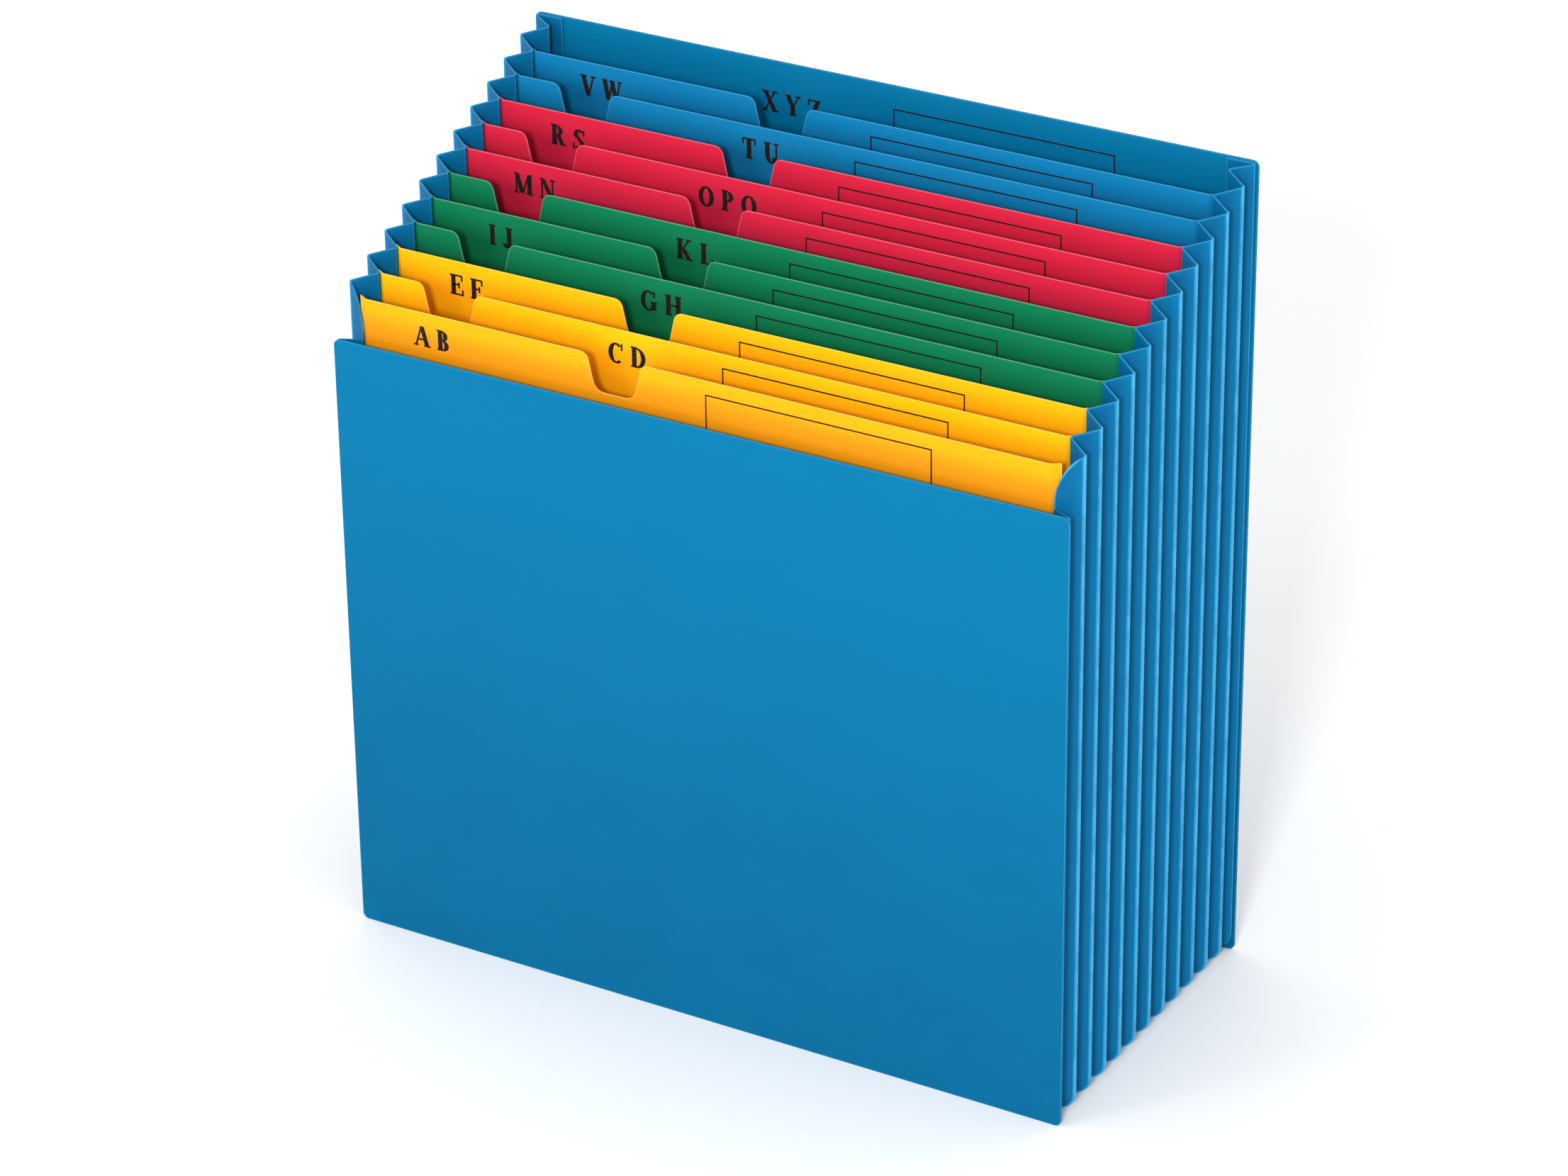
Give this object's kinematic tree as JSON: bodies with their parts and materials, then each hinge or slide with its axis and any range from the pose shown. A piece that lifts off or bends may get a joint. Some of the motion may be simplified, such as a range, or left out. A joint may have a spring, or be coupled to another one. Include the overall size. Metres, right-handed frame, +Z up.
{
  "type": "project file",
  "caption": "Open-topped expanding project file with a pleated gusset, stepped pockets, coloured alphabetical dividers and finger cut-outs.",
  "frame": {"origin": "middle of the base of the whole file, on the surface it stands on", "axes": "+Z up, front cover faces -Y, the pleats run from left to right along X at the base"},
  "size_m": [0.298, 0.14, 0.319],
  "materials": {
    "blue_cover": "matte",
    "blue_gusset": "matte",
    "yellow_divider": "matte",
    "green_divider": "matte",
    "red_divider": "matte",
    "blue_divider": "matte"
  },
  "bodies": {
    "root": {"front_cover": "blue_cover", "back_cover": "blue_cover", "pleated_gusset": "blue_gusset", "divider_1": "yellow_divider", "divider_2": "yellow_divider", "divider_3": "yellow_divider", "divider_4": "green_divider", "divider_5": "green_divider", "divider_6": "green_divider", "divider_7": "red_divider", "divider_8": "red_divider", "divider_9": "red_divider", "divider_10": "blue_divider", "divider_11": "blue_divider"}
  },
  "joints": []
}
